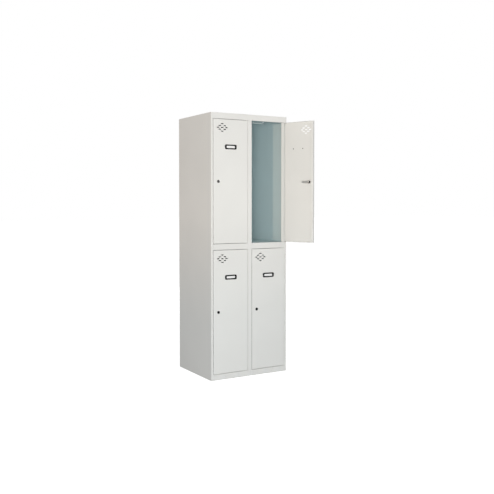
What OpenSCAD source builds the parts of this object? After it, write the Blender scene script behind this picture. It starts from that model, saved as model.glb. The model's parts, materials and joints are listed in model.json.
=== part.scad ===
// Steel locker cabinet with two columns, two tiers and four hinged doors.
// Millimetres, +Z up. The origin is the centre of the cabinet's base, at floor level, and the doors face -Y.

/* [Cabinet] */
// Width of the cabinet
cabinet_w = 600; // [540:10:800]
// Depth of the cabinet
cabinet_d = 500; // [350:10:600]
// Height of the cabinet
cabinet_h = 1800; // [1500:10:2000]
// Thickness of the steel sheet
sheet = 0.8; // [0.6:0.1:1.0]
// Height of the header, the mid rail and the bottom rail
rail_h = 40; // [36:1:60]
// Width of each side panel's front flange
flange_w = 15; // [14:1:20]
// Width of the centre mullion
mullion_w = 30; // [28:1:40]
// Depth of the jambs that the doors close between
jamb_d = 20; // [19:0.5:24]
// Width of the stop flange behind each door's free edge
stop_w = 12; // [12:1:16]

/* [Doors] */
// Gap all round a closed door
door_gap = 2.5; // [2.2:0.1:3]
// Thickness of a door
door_t = 16; // [15:0.5:17]
// Width of the lip along a door's hinge side
hinge_lip = 26; // [16:1:26]
// Width of the lip along a door's free side
latch_lip = 17; // [12:1:20]
// Angle at which the upper right door stands
open_angle = 112; // [0:1:114]
// Distance of the hinge axis from the door's edge
axis_inset = 8; // [8:0.1:9]
// Distance of the hinge axis behind the door's front face
axis_depth = 6; // [6:0.1:6.5]

/* [Vent] */
// Length of a vent slot
slot_l = 19; // [12:1:19]
// Height of a vent slot
slot_h = 6.5; // [3:0.5:7]
// Height from one row of slots to the next
slot_pitch = 12.5; // [11:0.5:15]

/* [Label holder] */
// Width of the label holder
label_w = 90; // [85:1:100]
// Height of the label holder
label_h = 32; // [30:1:40]
// Thickness of the label holder
label_t = 3.5; // [3:0.1:5]

/* [Lock] */
// Distance of the lock from the door's free edge
lock_inset = 37.5; // [36:0.5:45]
// Length of the cam from the lock's axis
cam_l = 50; // [46:1:50]
// Width of the cam
cam_w = 14; // [12:1:16]

/* [Coat rail] */
// Radius of the coat rail's rod
rail_r = 4.5; // [3:0.5:4.5]
// Distance of the rod's centre below the ceiling
rail_drop = 22; // [20:1:30]

/* [Hidden] */
$fn = 48;
bend_r = 0.7;
bend_steps = 5;
edge_r = bend_r + sheet;
slack = 0.1;

left = -cabinet_w / 2;
front = -cabinet_d / 2;
back = cabinet_d / 2;
skin_back = back - 2 * sheet;
jamb_back = front + jamb_d + sheet;
partition_x = sheet / 2;
inner_top = cabinet_h - sheet;
lip_h = 12;
foot_w = 20;

opening_w = (cabinet_w - 2 * flange_w - mullion_w) / 2;
opening_h = (cabinet_h - 3 * rail_h) / 2;
opening_left = [left + flange_w, mullion_w / 2];
opening_floor = [rail_h, 2 * rail_h + opening_h];

door_w = opening_w - 2 * door_gap;
door_h = opening_h - 2 * door_gap;
door_left = axis_inset - door_w;
door_front = -axis_depth;
door_back = door_t - axis_depth;

pin_r = 2.5;
bush_bore = pin_r + 0.05;
bush_r = 4;
bush_flange_r = 5.5;
bush_l = 6;
washer_gap = 0.3;
bush_flange_h = door_gap - washer_gap;
pin_l = door_gap + 5;
plate_t = 2;
plate_l = 34;
collar_r = 4.5;
collar_h = 1.5;

vent_inset = 68;
vent_drop = 56.5;
vent_rows = [[0], [-19.5, 19.5], [-32, 0, 32], [-19.5, 19.5], [0]];

label_drop = 184.5;
label_corner = 9;
window_w = 62;
window_h = 14;
pocket_w = 72;
pocket_h = 22;
pocket_t = 1;
leg_r = 2.5;
leg_head_r = 3.5;
leg_head_h = 2;
leg_x = 39;

lock_x = door_left + lock_inset;
lock_z = door_h / 2;
cam_y = jamb_d + sheet + 0.8 - axis_depth;
cam_t = 2;
housing_r = 8;
rim_r = 10;
rim_h = 2;
plug_r = 5.5;
plug_bore = plug_r + 0.05;
plug_proud = 0.3;
nut_r = 12;
nut_h = 4;
tail = 6;
screw_r = 2;
screw_l = 8;
screw_head_r = 5;
screw_head_h = 2;
keyway = [1.4, 7, 3];

buffer_r = 4.5;
buffer_stem_r = 1.8;
buffer_barb_r = 2.8;
buffer_barb_h = 1.5;
buffer_inset = 60;

rivet_r = 1.6;
rivet_head_r = 3.2;
rivet_tail_r = 2.4;
rivet_head_h = 1;
rivet_tail_h = 1.2;
rivet_count = 7;
rivet_end = 60;

fixing_r = 4;
fixing_x = 200;
fixing_z = cabinet_h - 100;

hanger_reach = 111;
hanger_bend = 12;
hanger_foot = [34, 16, 1.5];

paint = "gainsboro";
interior = "lightslategray";
steel = "silver";
plastic = "dimgray";

LEFT = 0;
RIGHT = 1;
SIDES = ["left", "right"];
DOORS = ["upper_left", "upper_right", "lower_left", "lower_right"];
DOOR_COLUMN = [LEFT, RIGHT, LEFT, RIGHT];
DOOR_TIER = [1, 1, 0, 0];
DOOR_ANGLE = [0, open_angle, 0, 0];
DOOR_PIECES = ["door_panel", "hinge_pins", "hinge_plates", "label_frame", "label_card", "lock_housing",
               "lock_nut", "lock_plug", "lock_cam", "cam_screw"];

function reversed(list) = [for (i = [len(list) - 1:-1:0]) list[i]];
function unit(v) = v / norm(v);
function left_of(v) = [-v.y, v.x];
function turn(a, b) = sign(a.x * b.y - a.y * b.x);

// One face of a folded sheet: the path moved d to its left, with each right-angled bend as an arc.
function fold_face(path, d) = [
    for (i = [0:len(path) - 1])
        let (into = unit(path[max(i, 1)] - path[max(i, 1) - 1]), n = left_of(into))
        if (i == 0 || i == len(path) - 1) path[i] + d * n
        else
            let (s = turn(into, unit(path[i + 1] - path[i])),
                 r = bend_r + (s > 0 ? sheet - d : d),
                 path_r = bend_r + (s > 0 ? sheet : 0),
                 c = path[i] + path_r * (s * n - into))
            each [for (k = [0:bend_steps]) c + r * (sin(90 * k / bend_steps) * into - s * cos(90 * k / bend_steps) * n)]
];

// The section of a sheet folded along the path, with its thickness on the path's left.
function fold_section(path) = concat(fold_face(path, 0), reversed(fold_face(path, sheet)));

function rounded_rect(lo, hi, r) = [
    for (c = [[hi.x - r, hi.y - r, 0], [lo.x + r, hi.y - r, 90], [lo.x + r, lo.y + r, 180], [hi.x - r, lo.y + r, 270]])
        for (k = [0:bend_steps])
            let (f = c.z + 90 * k / bend_steps) [c.x + r * cos(f), c.y + r * sin(f)]
];

// Where a column's hinge axis stands, and where a tier's door starts.
function axis_x(column) = opening_left[column] + opening_w - door_gap - axis_inset;
function door_floor(tier) = opening_floor[tier] + door_gap;
function stop_x(column) = opening_left[column] + stop_w / 2 + 0.5;
function column_middle(column) = opening_left[column] + opening_w / 2;
function ceiling(tier) = tier == 1 ? inner_top : opening_floor[1] - sheet;
function column_walls(column) = column == LEFT ? [left + sheet, -partition_x] : [partition_x, -left - sheet];

module slab(lo, hi) {
    translate(lo) cube(hi - lo);
}

// A rod along +Y that starts at the given height.
module rod_y(r, y0, y1) {
    translate([0, y0, 0]) rotate([-90, 0, 0]) cylinder(r = r, h = y1 - y0);
}

// A section drawn in Y and Z, extruded along X.
module along_x(section, x0, x1) {
    translate([x0, 0, 0]) rotate([90, 0, 90]) linear_extrude(x1 - x0) polygon(section);
}

// A flat outline drawn in X and Z, extruded along Y.
module along_y(y0, y1) {
    translate([0, y1, 0]) rotate([90, 0, 0]) linear_extrude(y1 - y0) children();
}

module at_door(d) {
    translate([axis_x(DOOR_COLUMN[d]), front + axis_depth, door_floor(DOOR_TIER[d])])
        rotate([0, 0, DOOR_ANGLE[d]]) children();
}

module at_lock() {
    translate([lock_x, 0, lock_z]) children();
}

module at_hinge_ends() {
    children();
    translate([0, 0, door_h]) mirror([0, 0, 1]) children();
}

// Holes in a column's jambs, one for each hinge bush.
module bush_holes(column) {
    for (tier = [0, 1], z = [opening_floor[tier], opening_floor[tier] + opening_h])
        translate([axis_x(column), front + axis_depth, z - 2 * sheet]) cylinder(r = bush_r, h = 4 * sheet);
}

module at_buffers(column) {
    for (tier = [0, 1], z = [buffer_inset, opening_h - buffer_inset])
        translate([stop_x(column), 0, opening_floor[tier] + z]) children();
}

module at_rivets() {
    for (side = [-1, 1], i = [0:rivet_count - 1])
        translate([side * (left + flange_w / 2 + sheet), 0,
                   rivet_end + i * (cabinet_h - 2 * rivet_end) / (rivet_count - 1)]) children();
}

// Room for the rails, which cuts a column's stop flange back at the top and bottom of each opening.
module stop_flange_breaks(column) {
    x = opening_left[column];
    y = front + jamb_d;
    break_h = rail_h + 2 * foot_w;
    for (z = [rail_h / 2, opening_floor[1] - rail_h / 2, cabinet_h - rail_h / 2])
        slab([x, y - bend_r, z - break_h / 2], [x + stop_w + 1, y + sheet + 1, z + break_h / 2]);
}

module side_section(has_stop) {
    edge = left + flange_w;
    fold = [[edge, back], [left, back], [left, front], [edge, front], [edge, front + jamb_d]];
    polygon(fold_section(has_stop ? concat(fold, [[edge + stop_w, front + jamb_d]]) : fold));
}

module side_panel(has_stop) {
    difference() {
        union() {
            linear_extrude(cabinet_h) side_section(has_stop);
            slab([left + sheet, jamb_back, 0], [left + sheet + foot_w, skin_back, sheet]);
        }
        slab([left + sheet, front + sheet, inner_top], [left + flange_w + stop_w + 1, back - sheet, cabinet_h + 1]);
        if (has_stop) {
            stop_flange_breaks(LEFT);
            at_buffers(LEFT) rod_y(buffer_stem_r, front, jamb_back + 1);
        }
        at_rivets() rod_y(rivet_r, back - 2 * sheet, back + 1);
    }
}

module side_panel_left() {
    color(paint) side_panel(true);
}

module side_panel_right() {
    color(paint) mirror([1, 0, 0]) side_panel(false);
}

module partition() {
    color(interior) difference() {
        union() {
            slab([-partition_x, front + sheet, 0], [partition_x, skin_back, inner_top]);
            slab([-partition_x, jamb_back, 0], [partition_x + foot_w, skin_back, sheet]);
        }
        slab([-1, front, cabinet_h - rail_h], [1, jamb_back, cabinet_h]);
    }
}

module mullion() {
    x = mullion_w / 2;
    fold = [[-x, front + jamb_d], [-x, front], [x, front], [x, front + jamb_d], [x + stop_w, front + jamb_d]];
    color(paint) difference() {
        linear_extrude(cabinet_h - rail_h) polygon(fold_section(fold));
        stop_flange_breaks(RIGHT);
        at_buffers(RIGHT) rod_y(buffer_stem_r, front + 2 * sheet, jamb_back + 1);
    }
}

module back_panel() {
    side = -left - edge_r - slack;
    color(paint) difference() {
        slab([-side, skin_back, 0], [side, back - sheet, inner_top]);
        at_rivets() rod_y(rivet_r, skin_back - 1, back);
        for (x = [-fixing_x, fixing_x]) translate([x, 0, fixing_z]) rod_y(fixing_r, skin_back - 1, back);
    }
}

// The section of a plate whose front folds down into a rail of the given height.
function rail_fold(z, rear) = [[rear, z], [front, z], [front, z - rail_h], [front + jamb_d, z - rail_h]];
function lipped_rail_fold(z, rear) = concat(rail_fold(z, rear), [[front + jamb_d, z - rail_h + lip_h]]);

module top_panel() {
    edge = left + flange_w;
    color(paint) difference() {
        union() {
            along_x(fold_section(lipped_rail_fold(cabinet_h, back - sheet)), edge, -edge);
            for (x = [left + sheet, -edge])
                slab([x, front + sheet, inner_top], [x + flange_w - sheet, back - sheet, cabinet_h]);
        }
        for (column = [LEFT, RIGHT]) bush_holes(column);
    }
}

// A column's plate at height z: its fold spans the opening, and behind the jambs it reaches both walls.
module column_plate(column, z, fold) {
    walls = column_walls(column);
    x = opening_left[column];
    difference() {
        union() {
            along_x(fold_section(fold), x, x + opening_w);
            slab([walls[0], jamb_back, z - sheet], [x, skin_back, z]);
            slab([x + opening_w, jamb_back, z - sheet], [walls[1], skin_back, z]);
        }
        bush_holes(column);
    }
}

module mid_shelf(column) {
    color(paint) column_plate(column, opening_floor[1], lipped_rail_fold(opening_floor[1], skin_back));
}

module base_panel(column) {
    color(paint) column_plate(column, rail_h, rail_fold(rail_h, skin_back));
}

module hinge_bush() {
    difference() {
        union() {
            cylinder(r = bush_flange_r, h = bush_flange_h);
            translate([0, 0, -bush_l]) cylinder(r = bush_r, h = bush_l);
        }
        translate([0, 0, -bush_l - 1]) cylinder(r = bush_bore, h = bush_l + bush_flange_h + 2);
    }
}

module hinge_bushes() {
    color(plastic) for (column = [LEFT, RIGHT], tier = [0, 1])
        translate([axis_x(column), front + axis_depth, opening_floor[tier]]) {
            hinge_bush();
            translate([0, 0, opening_h]) mirror([0, 0, 1]) hinge_bush();
        }
}

module door_buffers() {
    y = front + jamb_d;
    color(plastic) for (column = [LEFT, RIGHT]) at_buffers(column) {
        rod_y(buffer_r, front + door_t + washer_gap, y);
        rod_y(buffer_stem_r, y, y + sheet);
        rod_y(buffer_barb_r, y + sheet, y + sheet + buffer_barb_h);
    }
}

module rivets() {
    color(steel) at_rivets() {
        translate([0, back, 0]) rotate([-90, 0, 0]) cylinder(r1 = rivet_head_r, r2 = rivet_r, h = rivet_head_h);
        rod_y(rivet_r, back - 2 * sheet, back);
        rod_y(rivet_tail_r, skin_back - rivet_tail_h, skin_back);
    }
}

module coat_rail(d) {
    reach = hanger_reach - hanger_bend;
    color(steel) translate([column_middle(DOOR_COLUMN[d]), 0, ceiling(DOOR_TIER[d])]) {
        translate([-reach, 0, -rail_drop]) rotate([0, 90, 0]) cylinder(r = rail_r, h = 2 * reach);
        for (side = [0, 1]) mirror([side, 0, 0]) {
            translate([reach, 0, hanger_bend - rail_drop]) rotate([90, 0, 0]) rotate([0, 0, -90])
                rotate_extrude(angle = 90) translate([hanger_bend, 0]) circle(r = rail_r);
            translate([hanger_reach, 0, hanger_bend - rail_drop])
                cylinder(r = rail_r, h = rail_drop - hanger_bend - hanger_foot.z);
            translate([hanger_reach - hanger_foot.x / 2, -hanger_foot.y / 2, -hanger_foot.z]) cube(hanger_foot);
        }
    }
}

// The door's outer block, or with an inset its hollow: rounded along the upright and the level front edges.
module door_block(inset) {
    r = edge_r - inset;
    intersection() {
        translate([0, 0, inset]) linear_extrude(door_h - 2 * inset)
            polygon(rounded_rect([door_left + inset, door_front + inset],
                                 [axis_inset - inset, door_back - inset], r));
        along_x(rounded_rect([door_front + inset, inset], [door_back + door_t, door_h - inset], r),
                door_left, axis_inset);
    }
}

module vent_slots() {
    for (row = [0:len(vent_rows) - 1], x = vent_rows[row])
        translate([door_left + vent_inset + x, 0, door_h - vent_drop - (row - 2) * slot_pitch])
            along_y(door_front - 1, door_front + 2) {
                square([slot_l - slot_h, slot_h], center = true);
                for (side = [-1, 1]) translate([side * (slot_l - slot_h) / 2, 0]) circle(d = slot_h);
            }
}

module at_label() {
    translate([door_left + door_w / 2, 0, door_h - label_drop]) children();
}

module at_label_legs() {
    at_label() for (side = [-1, 1]) translate([side * leg_x, 0, 0]) children();
}

module door_panel() {
    color(paint) difference() {
        door_block(0);
        door_block(sheet);
        slab([door_left + latch_lip, 0, sheet], [axis_inset - hinge_lip, door_back + 1, door_h - sheet]);
        vent_slots();
        at_label_legs() rod_y(leg_r, door_front - 1, door_front + 2);
        at_lock() rod_y(housing_r, door_front - 1, door_front + 2);
        at_hinge_ends() translate([0, 0, -1]) cylinder(r = pin_r, h = 2);
    }
}

module hinge_pins() {
    color(steel) at_hinge_ends() {
        translate([0, 0, -pin_l]) cylinder(r = pin_r, h = pin_l + sheet + plate_t);
        translate([0, 0, sheet + plate_t]) cylinder(r = collar_r, h = collar_h);
    }
}

module hinge_plates() {
    x = axis_inset - sheet;
    color(steel) at_hinge_ends() difference() {
        slab([x - plate_l, door_front + edge_r, sheet], [x - bend_r, door_back - edge_r, sheet + plate_t]);
        cylinder(r = pin_r, h = sheet + plate_t + 1);
    }
}

module label_outline(w, h, r) {
    polygon(rounded_rect([-w / 2, -h / 2], [w / 2, h / 2], r));
}

module label_frame() {
    color("black") {
        at_label() difference() {
            along_y(door_front - label_t, door_front) label_outline(label_w, label_h, label_corner);
            along_y(door_front - label_t - 1, door_front) label_outline(window_w, window_h, window_h / 4);
            along_y(door_front - pocket_t, door_front + 1) square([pocket_w, pocket_h], center = true);
        }
        at_label_legs() {
            rod_y(leg_r, door_front, door_front + sheet);
            rod_y(leg_head_r, door_front + sheet, door_front + sheet + leg_head_h);
        }
    }
}

module label_card() {
    color("white") at_label() along_y(door_front - pocket_t + slack, door_front - slack)
        square([pocket_w - 2, pocket_h - 1], center = true);
}

module lock_housing() {
    color(plastic) at_lock() difference() {
        union() {
            rod_y(housing_r, door_front, cam_y - 0.8);
            translate([0, door_front, 0]) rotate([90, 0, 0]) cylinder(r1 = rim_r, r2 = rim_r - 1, h = rim_h);
        }
        rod_y(plug_bore, door_front - rim_h - 1, cam_y);
    }
}

module lock_nut() {
    y = door_front + sheet;
    color(steel) at_lock() difference() {
        along_y(y, y + nut_h) circle(r = nut_r, $fn = 6);
        rod_y(housing_r, y - 1, y + nut_h + 1);
    }
}

module lock_plug() {
    face = door_front - rim_h - plug_proud;
    color(steel) at_lock() difference() {
        union() {
            rod_y(plug_r, face, cam_y);
            slab([-tail / 2, cam_y, -tail / 2], [tail / 2, cam_y + cam_t, tail / 2]);
        }
        slab([-keyway.x / 2, face - 1, -keyway.y / 2], [keyway.x / 2, face + keyway.z, keyway.y / 2]);
        rod_y(screw_r, cam_y + cam_t - screw_l, cam_y + cam_t + 1);
    }
}

module lock_cam() {
    color(steel) at_lock() along_y(cam_y, cam_y + cam_t) difference() {
        union() {
            circle(r = housing_r);
            translate([0, -cam_w / 2]) square([cam_l - cam_w / 2, cam_w]);
            translate([cam_l - cam_w / 2, 0]) circle(d = cam_w);
        }
        square(tail, center = true);
    }
}

module cam_screw() {
    y = cam_y + cam_t;
    color(steel) at_lock() difference() {
        union() {
            rod_y(screw_r, y - screw_l, y);
            rod_y(screw_head_r, y, y + screw_head_h);
        }
        slab([-screw_head_r, y + screw_head_h / 2, -0.6], [screw_head_r, y + screw_head_h + 1, 0.6]);
    }
}

side_panel_left();
side_panel_right();
partition();
mullion();
back_panel();
top_panel();
hinge_bushes();
door_buffers();
rivets();
for (c = [LEFT, RIGHT]) {
    base_panel(c);
    mid_shelf(c);
}
for (d = [0:len(DOORS) - 1]) {
    coat_rail(d);
    at_door(d) door_panel();
    at_door(d) hinge_pins();
    at_door(d) hinge_plates();
    at_door(d) label_frame();
    at_door(d) label_card();
    at_door(d) lock_housing();
    at_door(d) lock_nut();
    at_door(d) lock_plug();
    at_door(d) lock_cam();
    at_door(d) cam_screw();
}
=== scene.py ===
"""Locker cabinet: finishes, trim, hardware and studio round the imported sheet-metal frame.

Lengths are metres, in the frame's own coordinates: +Z up, doors facing -Y, origin at the middle of the base.
"""
import json
import logging
from dataclasses import dataclass, field
from enum import Enum
from math import radians
from typing import Sequence, Union

import bpy
import numpy as np
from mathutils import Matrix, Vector


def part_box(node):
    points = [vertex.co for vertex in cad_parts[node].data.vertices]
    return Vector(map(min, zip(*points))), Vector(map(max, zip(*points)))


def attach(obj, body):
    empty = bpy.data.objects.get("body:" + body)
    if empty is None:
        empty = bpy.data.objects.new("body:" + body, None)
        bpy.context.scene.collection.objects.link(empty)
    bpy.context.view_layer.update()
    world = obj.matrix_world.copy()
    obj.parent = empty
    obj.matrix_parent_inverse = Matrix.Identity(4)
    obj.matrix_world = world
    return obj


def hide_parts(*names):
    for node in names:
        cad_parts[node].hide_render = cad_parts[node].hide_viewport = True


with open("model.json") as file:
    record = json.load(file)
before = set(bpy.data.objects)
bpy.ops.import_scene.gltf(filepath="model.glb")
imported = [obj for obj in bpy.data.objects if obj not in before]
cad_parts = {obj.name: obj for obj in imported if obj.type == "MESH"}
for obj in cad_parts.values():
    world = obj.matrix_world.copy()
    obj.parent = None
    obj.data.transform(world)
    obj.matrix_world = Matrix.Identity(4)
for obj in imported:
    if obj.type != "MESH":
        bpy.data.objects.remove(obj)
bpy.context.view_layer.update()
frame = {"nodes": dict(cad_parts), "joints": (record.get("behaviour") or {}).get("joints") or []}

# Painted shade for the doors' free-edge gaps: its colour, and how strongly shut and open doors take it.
GAP_SHADE_COLOUR = (0.20, 0.195, 0.185)
SHUT_GAP_SHADE = 0.75
OPEN_GAP_SHADE = 0.12
MM = 0.001
SHEET = 0.8 * MM
LOG = logging.getLogger("locker")

Colour = tuple[float, float, float]
Number = Union[float, int]


# ---------------------------------------------------------------- shader maths


class Socket:
    """A shader socket that takes part in arithmetic, so that a mask can be written as an expression."""

    def __init__(self, graph: "Graph", output: bpy.types.NodeSocket) -> None:
        """Wraps an output socket of a node of that graph."""
        self.graph = graph
        self.output = output

    def _math(self, operation: str, *values: "Number | Socket") -> "Socket":
        """Adds one Math node of an operation, with its inputs in order, and gives its result."""
        return self.graph.node("ShaderNodeMath", {"operation": operation}, dict(enumerate(values)))

    def __add__(self, other: "Number | Socket") -> "Socket":
        """The sum."""
        return self._math("ADD", self, other)

    def __sub__(self, other: "Number | Socket") -> "Socket":
        """The difference."""
        return self._math("SUBTRACT", self, other)

    def __rsub__(self, other: Number) -> "Socket":
        """The difference from a number."""
        return self._math("SUBTRACT", other, self)

    def __mul__(self, other: "Number | Socket") -> "Socket":
        """The product."""
        return self._math("MULTIPLY", self, other)

    __radd__ = __add__
    __rmul__ = __mul__

    def ramp(self, start: float, end: float) -> "Socket":
        """A mask that rises smoothly from 0 where the value is start to 1 where it is end."""
        return self.graph.node(
            "ShaderNodeMapRange",
            {"interpolation_type": "SMOOTHSTEP"},
            {"Value": self, "From Min": start, "From Max": end},
        )


class Graph:
    """The node tree of one material, with a Principled shader at its end."""

    def __init__(self, name: str) -> None:
        """Starts an empty tree.

        Args:
            name: the material's name.
        """
        self.material = bpy.data.materials.new(name)
        self.material.use_nodes = True
        self.tree = self.material.node_tree
        self.tree.nodes.clear()
        self.shader = self.tree.nodes.new("ShaderNodeBsdfPrincipled")
        end = self.tree.nodes.new("ShaderNodeOutputMaterial")
        self.tree.links.new(self.shader.outputs[0], end.inputs["Surface"])

    def node(
        self,
        kind: str,
        settings: "dict[str, object] | None" = None,
        inputs: "dict[Union[str, int], object] | None" = None,
        output: Union[str, int] = 0,
    ) -> Socket:
        """Adds a node, makes its settings and then fills its sockets.

        Args:
            kind: the node's type.
            settings: the node's own attributes, such as a Math node's operation.
            inputs: values or Sockets by the name or number of the input.
            output: which output to hand back.

        Returns:
            The chosen output, wrapped.
        """
        made = self.tree.nodes.new(kind)
        for key, value in (settings or {}).items():
            setattr(made, key, value)
        for key, value in (inputs or {}).items():
            self.plug(made.inputs[key], value)
        return Socket(self, made.outputs[output])

    def plug(self, target: bpy.types.NodeSocket, value: object) -> None:
        """Links a Socket to an input, or sets the input's own value.

        Args:
            target: the input.
            value: a Socket, a number, or a colour of three numbers.
        """
        if isinstance(value, Socket):
            self.tree.links.new(value.output, target)
        elif isinstance(value, tuple) and len(target.default_value) == 4:
            target.default_value = (*value, 1.0)
        else:
            target.default_value = value

    def place(self) -> Socket:
        """The point being shaded, in the object's own coordinates."""
        return self.node("ShaderNodeTexCoord", output="Object")

    def axis(self, index: int) -> Socket:
        """One coordinate of the point being shaded, in metres: 0, 1 or 2 for X, Y or Z."""
        return self.node("ShaderNodeSeparateXYZ", inputs={0: self.place()}, output=index)

    def along(self, direction: Sequence[float], start: Sequence[float]) -> Socket:
        """How far the point being shaded lies along a direction from a starting point.

        Args:
            direction: a unit vector.
            start: the point that gives 0.

        Returns:
            The distance in metres.
        """
        turned_to = tuple(float(c) for c in direction)
        settings = {"operation": "DOT_PRODUCT"}
        dot = self.node("ShaderNodeVectorMath", settings, {0: self.place(), 1: turned_to}, output="Value")
        return dot - float(np.dot(direction, start))

    def noise(self, scale: float, detail: float = 2.0, stretch: Colour = (1.0, 1.0, 1.0)) -> Socket:
        """Noise from 0 to 1, with that many features per metre, made finer along X, Y and Z by stretch."""
        vector = self.node("ShaderNodeMapping", inputs={"Vector": self.place(), "Scale": stretch})
        return self.node("ShaderNodeTexNoise", inputs={"Vector": vector, "Scale": scale, "Detail": detail})

    def mix(self, share: "Socket | float", a: object, b: object) -> Socket:
        """Blends two colours: a share of 0 gives a, and 1 gives b."""
        return self.node("ShaderNodeMix", {"data_type": "RGBA"}, {0: share, 6: a, 7: b}, output=2)

    def bump(self, height: Socket, distance: float, under: "Socket | None" = None) -> Socket:
        """Turns a height into a normal.

        Args:
            height: the height, from 0 to 1.
            distance: what a height of 1 stands for, in metres.
            under: the normal of a coarser bump beneath.

        Returns:
            The normal.
        """
        inputs: dict[Union[str, int], object] = {"Height": height, "Distance": distance, "Strength": 1.0}
        if under is not None:
            inputs["Normal"] = under
        return self.node("ShaderNodeBump", inputs=inputs)

    def finish(self, **values: object) -> bpy.types.Material:
        """Fills the shader's sockets.

        Args:
            values: by socket name, with underscores for spaces.

        Returns:
            The finished material.
        """
        for key, value in values.items():
            self.plug(self.shader.inputs[key.replace("_", " ")], value)
        return self.material


# ---------------------------------------------------------------- finishes


@dataclass(frozen=True)
class PowderCoat:
    """Baked powder paint on steel sheet: orange peel, a slight wave, scuffs near the floor, and painted
    shade: a cooler, darker tone inside the compartments and a dark band in a door's edge gap.
    """

    name: str
    colour: Colour
    roughness: float = 0.42
    # Painted shade: a darker, cooler tone for the faces inside the compartments.
    inner_shade_colour: "Colour | None" = None
    peel: float = 0.00005
    wave: float = 0.0006
    leaf: "Leaf | None" = None
    # Painted shade: how strongly the wall in the door's edge gap is darkened.
    gap_shade: float = 0.0
    shade: float = 0.93
    worn: float = 0.62
    kick: float = 0.12
    grit: float = 1400.0
    orange_peel: float = 520.0
    jamb: float = 20.9 * MM
    seam: float = 0.3 * MM
    soft: float = 0.2 * MM

    def gap_shade_mask(self, graph: Graph) -> Socket:
        """Painted shade in the gap on the door's free edge: 1 on its turned-back wall, behind the face,
        broken up by noise.

        Args:
            graph: the material being made.

        Returns:
            The mask.
        """
        low = self.leaf.box("door_panel")[0]
        across = graph.along(self.leaf.axes[0], self.leaf.pivot)
        deep = graph.along(self.leaf.axes[1], self.leaf.pivot)
        on_wall = 1 - across.ramp(low[0] + 0.5 * MM, low[0] + 0.9 * MM)
        behind = deep.ramp(low[1] + 1.2 * MM, low[1] + 2.0 * MM)
        return on_wall * behind * graph.noise(40.0, 4.0).ramp(0.1, 0.5)

    def inside(self, graph: Graph) -> Socket:
        """Where the painted cool shade goes: 1 on the faces that line the compartments and 0 outside, behind
        the jambs and within the skins.

        Args:
            graph: the material being made.

        Returns:
            The mask.
        """
        low, high = (np.array(corner) for corner in CARCASS_BOX)
        seam, soft = self.seam, self.soft
        behind = graph.axis(1).ramp(low[1] + self.jamb, low[1] + self.jamb + 0.5 * MM)
        before = 1 - graph.axis(1).ramp(high[1] - SHEET - seam - soft, high[1] - SHEET - seam)
        right = 1 - graph.axis(0).ramp(high[0] - seam - soft, high[0] - seam)
        left = graph.axis(0).ramp(low[0] + seam, low[0] + seam + soft)
        under = 1 - graph.axis(2).ramp(high[2] - seam - soft, high[2] - seam)
        return behind * before * right * left * under

    def material(self) -> bpy.types.Material:
        """Builds the paint.

        Returns:
            The material.
        """
        graph = Graph(self.name)
        cloud = graph.noise(2.2, 3.0)
        speck = graph.noise(self.grit, 1.0)
        near_floor = 1 - graph.axis(2).ramp(0.0, self.kick)
        scuff = graph.noise(60.0, 4.0, (1.0, 1.0, 0.35)).ramp(0.60, 0.78) * near_floor
        darker = tuple(self.shade * c for c in self.colour)
        worn = tuple(self.worn * c for c in self.colour)
        paint = graph.mix(cloud.ramp(0.3, 0.7) * 0.5 + speck * 0.25, self.colour, darker)
        # Painted shade: the compartments' inner faces take a darker, cooler colour that stands in for the
        # shade inside them.
        if self.inner_shade_colour is not None:
            paint = graph.mix(self.inside(graph), paint, self.inner_shade_colour)
        # Painted shade: the free-edge wall behind the door's face is darkened where the gap lies in shade,
        # most on shut doors.
        if self.leaf is not None:
            paint = graph.mix(self.gap_shade_mask(graph) * self.gap_shade, paint, GAP_SHADE_COLOUR)
        paint = graph.mix(scuff * 0.45, paint, worn)
        gloss = self.roughness + cloud * 0.06 + scuff * 0.25
        sheet = graph.bump(graph.noise(4.0, 1.0), self.wave)
        skin = graph.bump(graph.noise(self.orange_peel, 2.0), self.peel, sheet)
        return graph.finish(Base_Color=paint, Roughness=gloss, Normal=skin, Specular_IOR_Level=0.4)


@dataclass(frozen=True)
class PlatedMetal:
    """Zinc, chrome or satin steel: bare metal with fine drawn lines and a cloudy passivation tint."""

    name: str
    colour: Colour
    tint: Colour
    roughness: float = 0.32
    lines: Colour = (1.0, 1.0, 1.0)
    metallic: float = 1.0

    def material(self) -> bpy.types.Material:
        """Builds the metal.

        Returns:
            The material.
        """
        graph = Graph(self.name)
        cloud = graph.noise(90.0, 3.0)
        drawn = graph.noise(700.0, 2.0, self.lines)
        return graph.finish(
            Base_Color=graph.mix(cloud.ramp(0.35, 0.7) * 0.6, self.colour, self.tint),
            Metallic=self.metallic,
            Roughness=self.roughness + drawn * 0.14 + cloud * 0.06 - 0.08,
            Normal=graph.bump(drawn, 0.00004),
        )


@dataclass(frozen=True)
class Moulding:
    """Injection-moulded plastic or rubber with a faint grain and handling marks."""

    name: str
    colour: Colour
    worn: Colour
    roughness: float = 0.35
    grain: float = 0.00002
    specular: float = 0.5

    def material(self) -> bpy.types.Material:
        """Builds the plastic.

        Returns:
            The material.
        """
        graph = Graph(self.name)
        grain = graph.noise(1600.0, 2.0)
        marks = graph.noise(140.0, 4.0, (1.0, 1.0, 2.5)).ramp(0.58, 0.75)
        return graph.finish(
            Base_Color=graph.mix(marks * 0.5 + grain * 0.2, self.colour, self.worn),
            Roughness=self.roughness + grain * 0.08 + marks * 0.12,
            Normal=graph.bump(grain, self.grain),
            Specular_IOR_Level=self.specular,
        )


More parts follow.
